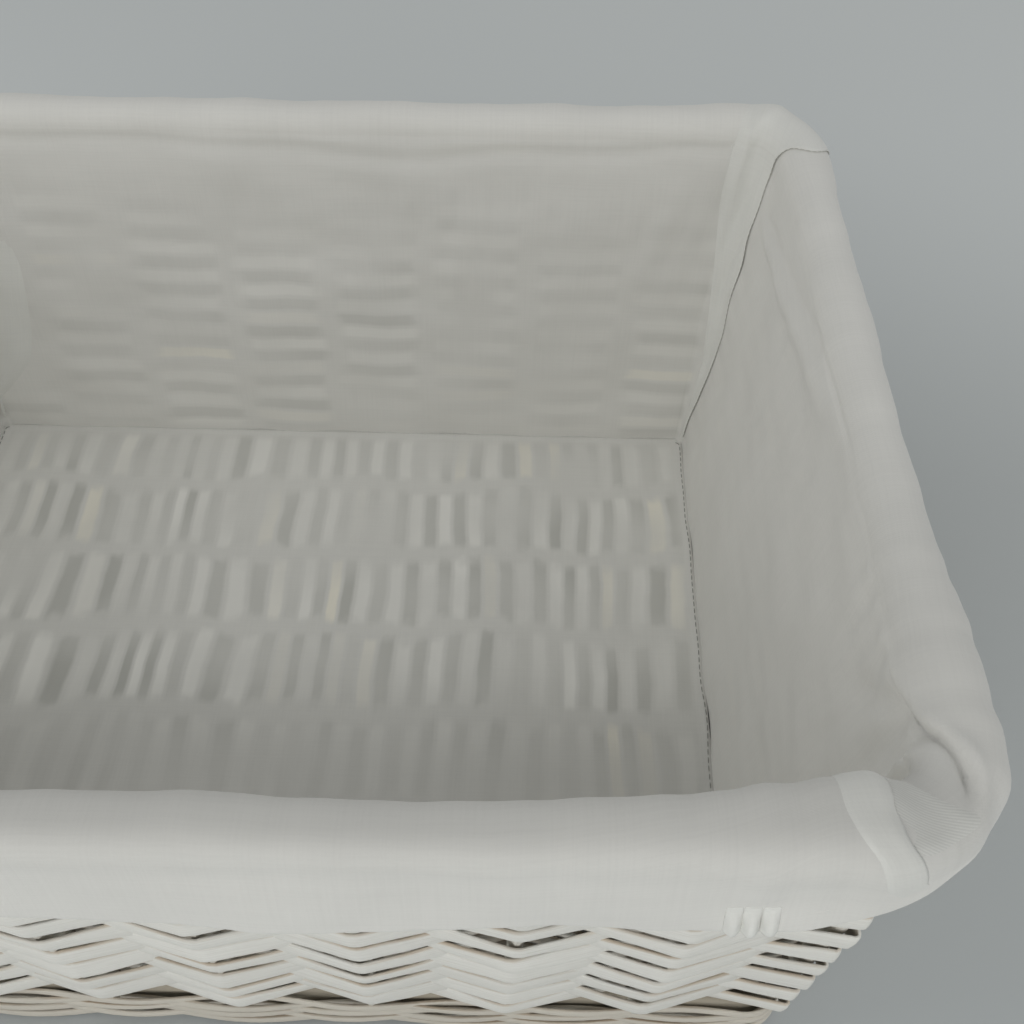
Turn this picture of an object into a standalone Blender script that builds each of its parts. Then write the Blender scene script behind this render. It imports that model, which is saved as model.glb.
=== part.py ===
"""Shallow rectangular willow basket with a lift-out cotton lining.

World frame: metres, +X along the length, +Y to the back, +Z up, underside at Z = 0.
The willow frame (foot border, floor, stakes, posts, rim) and the woven courses stay together.
The lining is sewn from a floor panel, four wall panels and four corner gussets, and lifts straight up.
"""
import math

import bmesh
import bpy
from mathutils import Vector

# Wall surface: the mid surface of the weave, which the stakes stand in
BASE_HALF_X = 0.1665
BASE_HALF_Y = 0.1335
RIM_HALF_X = 0.1902
RIM_HALF_Y = 0.1533
RIM_Z = 0.1557
BASE_CORNER_RADIUS = 0.004
RIM_CORNER_RADIUS = 0.026

# Willow rods; the wall stakes are split rods, set edge-on to the wall
STAKE_RADIUS = 0.0024
STAKE_DEPTH = 0.0050
FLOOR_STICK_RADIUS = 0.0024
POST_RADIUS = 0.0030
BORDER_RADIUS = 0.0075
BORDER_RADII = (BORDER_RADIUS, BORDER_RADIUS)
ROD_SIDES = 8
FRONT_STAKES = 7
END_STAKES = 6
CLEARANCE = 0.0003

# Foot border: the ring that everything stands on
FOOT_HEIGHT = 0.0189
FOOT_WIDTH = 0.0100
FOOT_CHAMFER = 0.0020
SUPPORT_FOOT_Z = FOOT_HEIGHT + 0.0010

# Woven courses of flat strip
COURSES = 20
STRIP_THICKNESS = 0.0018
STAKE_BULGE = 0.0063
POST_BULGE_BASE = 0.0076
POST_BULGE_RIM = 0.0063
POST_BULGE_IN = 0.0045

# Floor
FLOOR_HALF_X = 0.1610
FLOOR_HALF_Y = 0.1280
FLOOR_STICK_Z = 0.0063
FLOOR_STRIPS = 31
FLOOR_STRIP_STEP = 0.0004
FLOOR_TOP_PASS_Z = (0.0090, 0.0106)
FLOOR_BOTTOM_PASS_Z = (0.0016, 0.0032)

# Lining
CLOTH_THICKNESS = 0.0012
LINING_FLOOR_Z = 0.0116
LINING_FLOOR_HALF_X = 0.1580
LINING_FLOOR_HALF_Y = 0.1250
LINING_FLOOR_CORNER_RADIUS = 0.003
ROLL_RADIUS = 0.0087
CUFF_BOTTOM_Z = 0.1285
SEAM_GAP = 0.0003
ROLL_STEPS = 6
CORNER_STEPS = 5

PAINTED_WILLOW = ("painted_willow", (0.80, 0.79, 0.75), 0.62)
STAKE_WILLOW = ("stake_willow", (0.76, 0.74, 0.69), 0.66)
RAW_WILLOW = ("raw_willow", (0.66, 0.58, 0.48), 0.72)
COTTON = ("cotton", (0.82, 0.82, 0.79), 0.90)

UP = Vector((0.0, 0.0, 1.0))


def clear_scene():
    for obj in list(bpy.data.objects):
        bpy.data.objects.remove(obj, do_unlink=True)


def material(name, colour, roughness):
    mat = bpy.data.materials.get(name) or bpy.data.materials.new(name)
    mat.use_nodes = True
    shader = mat.node_tree.nodes["Principled BSDF"]
    shader.inputs["Base Color"].default_value = (*colour, 1.0)
    shader.inputs["Roughness"].default_value = roughness
    return mat


def add_object(name, points, faces, look, smooth=False):
    mesh = bpy.data.meshes.new(name)
    mesh.from_pydata([tuple(p) for p in points], [], faces)
    body = bmesh.new()
    body.from_mesh(mesh)
    bmesh.ops.recalc_face_normals(body, faces=body.faces)
    body.to_mesh(mesh)
    body.free()
    mesh.materials.append(material(*look))
    for polygon in mesh.polygons:
        polygon.use_smooth = smooth
    obj = bpy.data.objects.new(name, mesh)
    bpy.context.scene.collection.objects.link(obj)
    return obj


def loft(sections, closed_path):
    """Points and faces of a body through equal sections, capped unless the path closes on itself."""
    count = len(sections[0])
    points = [p for section in sections for p in section]
    faces = []
    spans = len(sections) if closed_path else len(sections) - 1
    for i in range(spans):
        here = i * count
        there = (i + 1) % len(sections) * count
        for j in range(count):
            k = (j + 1) % count
            faces.append((here + j, here + k, there + k, there + j))
    if not closed_path:
        faces.append(tuple(range(count)))
        faces.append(tuple(range((len(sections) - 1) * count, len(sections) * count)))
    return points, faces


def rod(name, path, radii, look, headings=None):
    """Round or oval rod along a path; headings set the way it runs at each point."""
    wide, deep = radii
    sections = []
    for i, point in enumerate(path):
        before = path[max(i - 1, 0)]
        after = path[min(i + 1, len(path) - 1)]
        along = headings[i] if headings else (after - before).normalized()
        side = along.cross(UP if abs(along.z) < 0.9 else Vector((0.0, 1.0, 0.0))).normalized()
        over = side.cross(along)
        ring = []
        for j in range(ROD_SIDES):
            turn = 2.0 * math.pi * (j + 0.5) / ROD_SIDES
            ring.append(point + wide * math.cos(turn) * side + deep * math.sin(turn) * over)
        sections.append(ring)
    return add_object(name, *loft(sections, False), look, smooth=True)


def join(target, tools):
    """Fuse the tools into the target and remove them."""
    for tool in tools:
        fuse = target.modifiers.new("fuse", "BOOLEAN")
        fuse.operation = "UNION"
        fuse.solver = "EXACT"
        fuse.object = tool
    bpy.context.view_layer.update()
    graph = bpy.context.evaluated_depsgraph_get()
    fused = bpy.data.meshes.new_from_object(target.evaluated_get(graph))
    target.modifiers.clear()
    target.data = fused
    for tool in tools:
        bpy.data.objects.remove(tool, do_unlink=True)


def blend(low, high, z):
    return low + (high - low) * z / RIM_Z


def half_sizes(z):
    return blend(BASE_HALF_X, RIM_HALF_X, z), blend(BASE_HALF_Y, RIM_HALF_Y, z)


def post_point(sign_x, sign_y, z):
    """Corner post: half way round the corner's arc."""
    half_x, half_y = half_sizes(z)
    inset = blend(BASE_CORNER_RADIUS, RIM_CORNER_RADIUS, z) * (1.0 - math.sqrt(0.5))
    return Vector((sign_x * (half_x - inset), sign_y * (half_y - inset), z))


def front_stake_point(index, sign_y, z):
    """Stake in the front or back wall; index counts from the middle one."""
    span = 2.0 * post_point(1, 1, z).x / (FRONT_STAKES + 1)
    return Vector((index * span, sign_y * half_sizes(z)[1], z))


def end_stake_point(index, sign_x, z):
    """Stake in an end wall; index is a half number, because the middle falls in a gap."""
    span = 2.0 * post_point(1, 1, z).y / (END_STAKES + 1)
    return Vector((sign_x * half_sizes(z)[0], index * span, z))


def front_indices():
    return [i - (FRONT_STAKES - 1) / 2.0 for i in range(FRONT_STAKES)]


def end_indices():
    return [i - (END_STAKES - 1) / 2.0 for i in range(END_STAKES)]


def weave_supports(z):
    """Posts and stakes in order round the wall, as (point, outward direction, is a post)."""
    diagonal = math.sqrt(0.5)
    walk = [(post_point(-1, -1, z), Vector((-diagonal, -diagonal, 0.0)), True)]
    walk += [(front_stake_point(i, -1, z), Vector((0.0, -1.0, 0.0)), False) for i in front_indices()]
    walk.append((post_point(1, -1, z), Vector((diagonal, -diagonal, 0.0)), True))
    walk += [(end_stake_point(i, 1, z), Vector((1.0, 0.0, 0.0)), False) for i in end_indices()]
    walk.append((post_point(1, 1, z), Vector((diagonal, diagonal, 0.0)), True))
    walk += [(front_stake_point(-i, 1, z), Vector((0.0, 1.0, 0.0)), False) for i in front_indices()]
    walk.append((post_point(-1, 1, z), Vector((-diagonal, diagonal, 0.0)), True))
    walk += [(end_stake_point(-i, -1, z), Vector((-1.0, 0.0, 0.0)), False) for i in end_indices()]
    return walk


def offset_loop(points, distance):
    """Closed loop moved sideways to its right by a distance, with mitred corners."""
    moved = []
    for i, point in enumerate(points):
        into = (point - points[i - 1]).normalized()
        out = (points[(i + 1) % len(points)] - point).normalized()
        right_in = into.cross(UP)
        right_out = out.cross(UP)
        mitre = (right_in + right_out).normalized()
        moved.append(point + mitre * (distance / mitre.dot(right_in)))
    return moved


def weave_loop(z, parity):
    """Middle line of one strip: outside a support, inside the next."""
    line = []
    for i, (point, outward, is_post) in enumerate(weave_supports(z)):
        outside = (i + parity) % 2 == 0
        if is_post:
            bulge = blend(POST_BULGE_BASE, POST_BULGE_RIM, z) if outside else -POST_BULGE_IN
        else:
            bulge = STAKE_BULGE if outside else -STAKE_BULGE
        line.append(point + outward * bulge)
    return line


def build_courses():
    low = FOOT_HEIGHT + CLEARANCE
    high = RIM_Z - BORDER_RADIUS - CLEARANCE
    pitch = (high - low) / COURSES
    for course in range(COURSES):
        z_low = low + course * pitch
        z_high = z_low + pitch - CLEARANCE
        lower = weave_loop(z_low, course)
        upper = weave_loop(z_high, course)
        half = STRIP_THICKNESS / 2.0
        edges = [offset_loop(lower, half), offset_loop(upper, half),
                 offset_loop(upper, -half), offset_loop(lower, -half)]
        sections = list(zip(*edges))
        add_object(f"weave_course_{course + 1:02d}", *loft(sections, True), PAINTED_WILLOW)


def stake(place, index, sign, radii):
    path = [place(index, sign, SUPPORT_FOOT_Z), place(index, sign, RIM_Z)]
    return rod("stake", path, radii, STAKE_WILLOW)


def build_stakes():
    for name, sign in (("front", -1), ("back", 1)):
        half_x = RIM_HALF_X - RIM_CORNER_RADIUS - CLEARANCE
        y = sign * RIM_HALF_Y
        border = rod(f"stakes_{name}", [Vector((-half_x, y, RIM_Z)), Vector((half_x, y, RIM_Z))],
                     BORDER_RADII, STAKE_WILLOW)
        stakes = [stake(front_stake_point, i, sign, (STAKE_RADIUS, STAKE_DEPTH)) for i in front_indices()]
        join(border, stakes)
    for name, sign in (("left", -1), ("right", 1)):
        half_y = RIM_HALF_Y - RIM_CORNER_RADIUS - CLEARANCE
        x = sign * RIM_HALF_X
        border = rod(f"stakes_{name}", [Vector((x, -half_y, RIM_Z)), Vector((x, half_y, RIM_Z))],
                     BORDER_RADII, STAKE_WILLOW)
        stakes = [stake(end_stake_point, i, sign, (STAKE_DEPTH, STAKE_RADIUS)) for i in end_indices()]
        join(border, stakes)


def corner_frame(sign_x, sign_y):
    """Start angle of a corner's quarter turn, counter-clockwise seen from above."""
    return {(1, 1): 0.0, (-1, 1): 0.5, (-1, -1): 1.0, (1, -1): 1.5}[(sign_x, sign_y)] * math.pi


def build_posts():
    for name, sign_x, sign_y in CORNERS:
        start = corner_frame(sign_x, sign_y)
        centre = Vector((sign_x * (RIM_HALF_X - RIM_CORNER_RADIUS),
                         sign_y * (RIM_HALF_Y - RIM_CORNER_RADIUS), RIM_Z))
        turns = [start + 0.5 * math.pi * i / CORNER_STEPS for i in range(CORNER_STEPS + 1)]
        arc = [centre + RIM_CORNER_RADIUS * Vector((math.cos(turn), math.sin(turn), 0.0)) for turn in turns]
        headings = [Vector((-math.sin(turn), math.cos(turn), 0.0)) for turn in turns]
        border = rod(f"corner_post_{name}", arc, BORDER_RADII, STAKE_WILLOW, headings)
        post = rod("post", [post_point(sign_x, sign_y, SUPPORT_FOOT_Z), post_point(sign_x, sign_y, RIM_Z)],
                   (POST_RADIUS, POST_RADIUS), STAKE_WILLOW)
        join(border, [post])


def build_foot():
    """Ring with a flat underside, an octagonal section and mitred corners."""
    loop = [Vector((sx * BASE_HALF_X, sy * BASE_HALF_Y, 0.0)) for _, sx, sy in CORNERS]
    half = FOOT_WIDTH / 2.0
    inner = half - FOOT_CHAMFER
    shoulder = FOOT_HEIGHT - FOOT_CHAMFER
    profile = [(inner, 0.0), (half, FOOT_CHAMFER), (half, shoulder), (inner, FOOT_HEIGHT),
               (-inner, FOOT_HEIGHT), (-half, shoulder), (-half, FOOT_CHAMFER), (-inner, 0.0)]
    rings = [[p + UP * z for p in offset_loop(loop, out)] for out, z in profile]
    add_object("foot_border", *loft(list(zip(*rings)), True), RAW_WILLOW)


def build_floor():
    for i, index in enumerate(end_indices()):
        y = end_stake_point(index, 1, 0.0).y
        ends = [Vector((sign * FLOOR_HALF_X, y, FLOOR_STICK_Z)) for sign in (-1, 1)]
        rod(f"floor_stick_{i + 1}", ends, (FLOOR_STICK_RADIUS, FLOOR_STICK_RADIUS), STAKE_WILLOW)
    width = 2.0 * FLOOR_HALF_X / FLOOR_STRIPS
    for name, (z_low, z_high), step in (("upper", FLOOR_TOP_PASS_Z, FLOOR_STRIP_STEP),
                                        ("lower", FLOOR_BOTTOM_PASS_Z, -FLOOR_STRIP_STEP)):
        shown, hidden = (z_high, z_low) if step > 0.0 else (z_low, z_high)
        outline = [(-FLOOR_HALF_X, hidden)]
        for strip in range(FLOOR_STRIPS):
            z = shown + (step if strip % 2 else 0.0)
            x = -FLOOR_HALF_X + strip * width
            outline += [(x, z), (x + width, z)]
        outline.append((FLOOR_HALF_X, hidden))
        sections = [[Vector((x, y, z)) for x, z in outline] for y in (-FLOOR_HALF_Y, FLOOR_HALF_Y)]
        add_object(f"floor_weave_{name}", *loft(sections, False), PAINTED_WILLOW)


def lining_profile(turn, centre_low, centre_high):
    """Cross-section of the cloth at one angle: up the wall, over the border, down as the cuff."""
    outward = Vector((math.cos(turn), math.sin(turn), 0.0))
    half = CLOTH_THICKNESS / 2.0
    points = [centre_low + outward * LINING_FLOOR_CORNER_RADIUS + UP * (LINING_FLOOR_Z + half)]
    for i in range(ROLL_STEPS + 1):
        lean = math.pi * (1.0 - i / ROLL_STEPS)
        out = RIM_CORNER_RADIUS + ROLL_RADIUS * math.cos(lean)
        points.append(centre_high + outward * out + UP * (RIM_Z + ROLL_RADIUS * math.sin(lean)))
    out = RIM_CORNER_RADIUS + ROLL_RADIUS
    points.append(centre_high + outward * out + UP * CUFF_BOTTOM_Z)
    outer, inner = [], []
    for i, point in enumerate(points):
        after = points[min(i + 1, len(points) - 1)] - points[min(i, len(points) - 2)]
        before = points[max(i, 1)] - points[max(i - 1, 0)]
        across = outward.cross(UP)
        normal_before = before.normalized().cross(across)
        normal_after = after.normalized().cross(across)
        mitre = (normal_before + normal_after).normalized()
        shift = mitre * (half / mitre.dot(normal_before))
        outer.append(point + shift)
        inner.append(point - shift)
    return outer + inner[::-1]


def lining_centres(sign_x, sign_y):
    """Centres of the corner's arc at the floor and at the rim."""
    low = Vector((sign_x * (LINING_FLOOR_HALF_X - LINING_FLOOR_CORNER_RADIUS),
                  sign_y * (LINING_FLOOR_HALF_Y - LINING_FLOOR_CORNER_RADIUS), 0.0))
    high = Vector((sign_x * (RIM_HALF_X - RIM_CORNER_RADIUS),
                   sign_y * (RIM_HALF_Y - RIM_CORNER_RADIUS), 0.0))
    return low, high


def build_lining():
    half_x, half_y = LINING_FLOOR_HALF_X, LINING_FLOOR_HALF_Y
    edge = CLOTH_THICKNESS / 2.0 + SEAM_GAP
    x, y = half_x - edge, half_y - edge
    cut = LINING_FLOOR_CORNER_RADIUS
    plan = [(-x + cut, -y), (x - cut, -y), (x, -y + cut), (x, y - cut),
            (x - cut, y), (-x + cut, y), (-x, y - cut), (-x, -y + cut)]
    levels = (LINING_FLOOR_Z, LINING_FLOOR_Z + CLOTH_THICKNESS)
    sections = [[Vector((px, py, z)) for px, py in plan] for z in levels]
    add_object("lining_floor", *loft(sections, False), COTTON)

    for name, sign_x, sign_y in CORNERS:
        low, high = lining_centres(sign_x, sign_y)
        start = corner_frame(sign_x, sign_y)
        sections = [lining_profile(start + 0.5 * math.pi * i / CORNER_STEPS, low, high)
                    for i in range(CORNER_STEPS + 1)]
        add_object(f"lining_corner_{name}", *loft(sections, False), COTTON, smooth=True)

    for name, first, second, turn in (("front", (-1, -1), (1, -1), -0.5), ("right", (1, -1), (1, 1), 0.0),
                                      ("back", (1, 1), (-1, 1), 0.5), ("left", (-1, 1), (-1, -1), 1.0)):
        sections = []
        along = (lining_centres(*second)[1] - lining_centres(*first)[1]).normalized()
        for corner, inward in ((first, along), (second, -along)):
            low, high = lining_centres(*corner)
            gap = inward * SEAM_GAP
            sections.append(lining_profile(turn * math.pi, low + gap, high + gap))
        add_object(f"lining_wall_{name}", *loft(sections, False), COTTON, smooth=True)


CORNERS = (("front_left", -1, -1), ("front_right", 1, -1), ("back_right", 1, 1), ("back_left", -1, 1))

clear_scene()
build_foot()
build_floor()
build_posts()
build_stakes()
build_courses()
build_lining()
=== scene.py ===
"""Lined basket of white-painted split willow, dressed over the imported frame.

The willow work rides on the body "basket", the cotton lining on the body "lining".
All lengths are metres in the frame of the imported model.
"""
import math

import bpy
import numpy as np
from mathutils import Matrix, Vector


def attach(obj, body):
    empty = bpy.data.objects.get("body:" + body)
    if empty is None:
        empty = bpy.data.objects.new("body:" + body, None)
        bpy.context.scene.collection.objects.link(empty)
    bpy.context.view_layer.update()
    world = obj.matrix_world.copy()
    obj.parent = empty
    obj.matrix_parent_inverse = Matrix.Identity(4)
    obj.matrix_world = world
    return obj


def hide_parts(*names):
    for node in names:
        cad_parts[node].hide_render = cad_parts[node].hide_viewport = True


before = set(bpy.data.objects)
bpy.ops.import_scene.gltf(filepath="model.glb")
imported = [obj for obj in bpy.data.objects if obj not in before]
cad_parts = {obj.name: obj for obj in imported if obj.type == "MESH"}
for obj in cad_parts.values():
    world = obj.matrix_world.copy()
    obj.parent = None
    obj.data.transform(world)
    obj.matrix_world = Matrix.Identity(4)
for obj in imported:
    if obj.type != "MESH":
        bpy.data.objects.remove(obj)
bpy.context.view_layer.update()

# ---------------------------------------------------------------- dimensions shared with the CAD
BASE_HALF = np.array([0.1665, 0.1335])
RIM_HALF = np.array([0.1902, 0.1533])
RIM_Z = 0.1557
BASE_CORNER = 0.004
RIM_CORNER = 0.026
FOOT_HEIGHT = 0.0189
BORDER_RADIUS = 0.0075
COURSES = 20
FRONT_STAKES = 7
END_STAKES = 6
STAKE_BULGE = 0.0063
POST_BULGE_BASE = 0.0076
POST_BULGE_RIM = 0.0063
POST_BULGE_IN = 0.0045
FLOOR_HALF = np.array([0.1600, 0.1270])
STICK_Z = 0.0063
LINING_HALF = np.array([0.1580, 0.1250])
LINING_CORNER = 0.003
LINING_Z = 0.0124
ROLL_RADIUS = 0.0088
HEM_Z = 0.1290

UP = np.array([0.0, 0.0, 1.0])
COURSE_LOW = FOOT_HEIGHT + 0.0003
COURSE_HIGH = RIM_Z - BORDER_RADIUS - 0.0003
COURSE_PITCH = (COURSE_HIGH - COURSE_LOW) / COURSES
FLOOR_MARGIN = 0.0015
FLOOR_ROWS = 49
FLOOR_PITCH = 2.0 * (FLOOR_HALF[0] - FLOOR_MARGIN) / FLOOR_ROWS
STRIP_THICKNESS = 0.0012
CLOTH_THICKNESS = 0.0006
PATCH_THICKNESS = 0.0003


def unit(v):
    return v / np.maximum(np.linalg.norm(v, axis=-1, keepdims=True), 1e-12)


def ripple(x, seed, waves=5, low=1.0, high=4.0):
    """Smooth repeatable noise of about -1..1 along x."""
    rng = np.random.default_rng(seed)
    total = np.zeros_like(np.asarray(x, dtype=float))
    for _ in range(waves):
        size = rng.uniform(low, high) * math.tau
        total = total + np.sin(size * x + rng.uniform(0.0, math.tau))
    return total / math.sqrt(waves * 2.0)


def ripple2(x, y, seed, waves=9, low=0.5, high=3.0):
    """Smooth repeatable noise of about -1..1 over a plane."""
    rng = np.random.default_rng(seed)
    total = np.zeros(np.broadcast(x, y).shape)
    for _ in range(waves):
        size = rng.uniform(low, high) * math.tau
        turn = rng.uniform(0.0, math.pi)
        across = math.cos(turn) * x + math.sin(turn) * y
        total = total + np.sin(size * across + rng.uniform(0.0, math.tau))
    return total / math.sqrt(waves * 0.8)


def smooth_step(x, low, high):
    t = np.clip((x - low) / (high - low), 0.0, 1.0)
    return t * t * (3.0 - 2.0 * t)


def ridge(offset, width):
    return np.exp(-(offset / width) ** 2)


def run_along(points):
    """Distance from the start at each point of a line."""
    return np.concatenate([[0.0], np.cumsum(np.linalg.norm(np.diff(points, axis=0), axis=1))])


def closed(points):
    return np.vstack([points, points[:1]])


def loop_direction(path):
    """Direction at each point of closed paths (..., steps, 3)."""
    return unit(np.roll(path, -1, axis=-2) - np.roll(path, 1, axis=-2))


def square_to(along, way):
    """Unit vector nearest to way and at right angles to along."""
    return unit(way - along * np.sum(way * along, axis=-1, keepdims=True))


# ---------------------------------------------------------------- mesh helpers
def make_mesh(name, points, faces, attributes=None):
    """Mesh object from an array of points and an array of quads; attributes are per point."""
    mesh = bpy.data.meshes.new(name)
    points = np.asarray(points, dtype=np.float32).reshape(-1, 3)
    faces = np.asarray(faces, dtype=np.int32)
    mesh.vertices.add(len(points))
    mesh.vertices.foreach_set("co", points.ravel())
    mesh.loops.add(faces.size)
    mesh.loops.foreach_set("vertex_index", faces.ravel())
    mesh.polygons.add(len(faces))
    mesh.polygons.foreach_set("loop_start", np.arange(0, faces.size, faces.shape[1], dtype=np.int32))
    mesh.update(calc_edges=True)
    mesh.validate()
    mesh.polygons.foreach_set("use_smooth", np.full(len(mesh.polygons), True))
    for key, values in (attributes or {}).items():
        values = np.asarray(values, dtype=np.float32)
        if values.ndim == 1:
            mesh.attributes.new(key, "FLOAT", "POINT").data.foreach_set("value", values)
        else:
            mesh.attributes.new(key, "FLOAT_VECTOR", "POINT").data.foreach_set("vector", values.ravel())
    obj = bpy.data.objects.new(name, mesh)
    bpy.context.scene.collection.objects.link(obj)
    return obj


def grid_faces(rows, columns, wrap_rows=False, wrap_columns=False):
    r = np.arange(rows if wrap_rows else rows - 1)
    c = np.arange(columns if wrap_columns else columns - 1)
    r, c = np.meshgrid(r, c, indexing="ij")
    r2, c2 = (r + 1) % rows, (c + 1) % columns
    quads = np.stack([r * columns + c, r * columns + c2, r2 * columns + c2, r2 * columns + c], axis=-1)
    return quads.reshape(-1, 4)


def sweep(sections, closed):
    """Tubes from sections (pieces, steps, ring, 3); returns points and quads, with capped ends."""
    pieces, steps, ring, _ = sections.shape
    face_list = []
    for i in range(pieces):
        start = i * steps * ring
        face_list.append(grid_faces(steps, ring, wrap_rows=closed, wrap_columns=True) + start)
    points = sections.reshape(-1, 3)
    faces = np.concatenate(face_list)
    if not closed:
        caps = []
        half = ring // 2
        for i in range(pieces):
            for end in (0, steps - 1):
                at = (i * steps + end) * ring
                for j in range(half - 1):
                    quad = [at + j, at + j + 1, at + ring - 2 - j, at + ring - 1 - j]
                    caps.append(quad if end else quad[::-1])
        faces = np.concatenate([faces, np.array(caps)])
    return points, faces


# across the strip and through its thickness: gently crowned outer face, flat inner face
STRIP_PROFILE = np.array([
    (-0.50, 0.05), (-0.485, 0.55), (-0.40, 0.84), (-0.18, 0.96), (0.12, 1.00), (0.38, 0.86), (0.48, 0.58),
    (0.50, 0.05), (0.44, -0.12), (0.12, -0.06), (-0.18, -0.06), (-0.44, -0.12)])


def strip_sections(centre, across, outward, width, thickness, seed):
    """Sections of flat split strips: centre, across and outward are (pieces, steps, 3)."""
    a = STRIP_PROFILE[:, 0][None, None, :, None]
    n = STRIP_PROFILE[:, 1][None, None, :, None] - 0.4
    rng = np.random.default_rng(seed)
    ragged = 1.0 + 0.035 * rng.standard_normal(centre.shape[:2])[..., None, None] * np.sign(a)
    return (centre[..., None, :] + across[..., None, :] * a * width[..., None, None] * ragged
            + outward[..., None, :] * n * thickness[..., None, None])


def strip_attributes(pieces, steps, lengths, seed):
    """Per point: strip (along in metres, across -0.5..0.5, tone of the strip), and painted shade on its back
    face.
    """
    rng = np.random.default_rng(seed)
    shape = (pieces, steps, len(STRIP_PROFILE))
    tone = np.broadcast_to(rng.uniform(0.0, 1.0, pieces)[:, None, None], shape)
    shift = rng.uniform(0.0, 40.0, pieces)[:, None, None]
    along = np.broadcast_to(lengths[..., None] + shift, shape)
    across = np.broadcast_to(STRIP_PROFILE[:, 0], shape)
    inner = np.broadcast_to((STRIP_PROFILE[:, 1] < 0.05).astype(float), shape)
    return {"strip": np.stack([along, across, tone], axis=-1).reshape(-1, 3), "inner": inner.reshape(-1)}


def strip_frame(along, hint, facing):
    """Directions across a flat strip and out of its face, on the side that facing is on."""
    across = square_to(along, unit(hint))
    out = unit(np.cross(across, along))
    return across, out * np.sign(np.sum(out * facing, axis=1, keepdims=True))


def strip_mesh(name, strips, is_closed, seed, depth_shade=None):
    """Mesh of strips, each given as centre line, across, outward, width, thickness and run."""
    centre, across, outward, width, thickness, run = (np.array(values) for values in zip(*strips))
    points, faces = sweep(strip_sections(centre, across, outward, width, thickness, seed), is_closed)
    attributes = strip_attributes(*centre.shape[:2], run, seed + 1)
    if depth_shade is not None:
        # painted shade: where a strip passes in behind a support it is darkened as its back face is
        deep = np.repeat(np.array(depth_shade).reshape(-1), len(STRIP_PROFILE))
        attributes["inner"] = np.maximum(attributes["inner"], deep)
    return make_mesh(name, points, faces, attributes)


def tube_sections(path, side, over, radius_a, radius_b, ring):
    """Rings round paths (pieces, steps, 3), with radius_a along side and radius_b along over."""
    turn = (np.arange(ring) + 0.5) * math.tau / ring
    c, s = np.cos(turn)[:, None], np.sin(turn)[:, None]
    return (path[:, :, None] + side[:, :, None] * c * radius_a[..., None, None]
            + over[:, :, None] * s * radius_b[..., None, None])


def rod_sections(path, side, radius_a, radius_b, ring):
    """Rings of open rods; side is about the direction of radius_a."""
    along = unit(np.gradient(path, axis=1))
    side = square_to(along, side)
    return tube_sections(path, side, np.cross(along, side), radius_a, radius_b, ring)


def rod_attributes(pieces, steps, ring, runs, seed):
    """Per point of round rods: strip (along in metres, around, tone of the rod), and no painted shade."""
    rng = np.random.default_rng(seed)
    shape = (pieces, steps, ring)
    along = np.broadcast_to(runs[..., None], shape) + rng.uniform(0.0, 40.0, pieces)[:, None, None]
    around = np.broadcast_to(0.3 * np.cos(np.arange(ring) * math.tau / ring), shape)
    tone = np.broadcast_to(rng.uniform(0.0, 1.0, pieces)[:, None, None], shape)
    strip = np.stack([along, around, tone], axis=-1).reshape(-1, 3)
    return {"strip": strip, "inner": np.zeros(pieces * steps * ring)}


def rod_mesh(name, path, side, radius_a, radius_b, runs, seed, ring=12):
    """Open rods with capped ends; path and side are (pieces, steps, 3)."""
    points, faces = sweep(rod_sections(path, side, radius_a, radius_b, ring), False)
    return make_mesh(name, points, faces, rod_attributes(*path.shape[:2], ring, runs, seed))


def loop_rods(name, path, side, over, radius, run, seed, ring=10):
    """Closed round rods; path, side and over are (pieces, steps, 3)."""
    points, faces = sweep(tube_sections(path, side, over, radius, radius, ring), True)
    runs = np.broadcast_to(run, path.shape[:2])
    return make_mesh(name, points, faces, rod_attributes(*path.shape[:2], ring, runs, seed))


def thicken(sheet, thickness):
    """Give a sheet of cloth its thickness."""
    solid = sheet.modifiers.new("cloth thickness", "SOLIDIFY")
    solid.thickness = thickness
    solid.offset = -1.0


# ---------------------------------------------------------------- where the wall is
def blend_z(low, high, z):
    return low + (high - low) * z / RIM_Z


def half_sizes(z):
    return blend_z(BASE_HALF, RIM_HALF, z)


def post_xy(sx, sy, z):
    inset = blend_z(BASE_CORNER, RIM_CORNER, z) * (1.0 - math.sqrt(0.5))
    half = half_sizes(z) - inset
    return np.array([sx * half[0], sy * half[1]])


def supports(z):
    """Posts and stakes in order round the wall at height z: (xy, outward, is a post)."""
    d = math.sqrt(0.5)
    post = post_xy(1, 1, z)
    half = half_sizes(z)
    span_x = 2.0 * post[0] / (FRONT_STAKES + 1)
    span_y = 2.0 * post[1] / (END_STAKES + 1)
    xs = (np.arange(FRONT_STAKES) - (FRONT_STAKES - 1) / 2.0) * span_x
    ys = (np.arange(END_STAKES) - (END_STAKES - 1) / 2.0) * span_y
    walk = [(post_xy(-1, -1, z), (-d, -d), True)]
    walk += [((x, -half[1]), (0.0, -1.0), False) for x in xs]
    walk += [(post_xy(1, -1, z), (d, -d), True)]
    walk += [((half[0], y), (1.0, 0.0), False) for y in ys]
    walk += [(post_xy(1, 1, z), (d, d), True)]
    walk += [((-x, half[1]), (0.0, 1.0), False) for x in xs]
    walk += [(post_xy(-1, 1, z), (-d, d), True)]
    walk += [((-half[0], -y), (-1.0, 0.0), False) for y in ys]
    return walk


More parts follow.
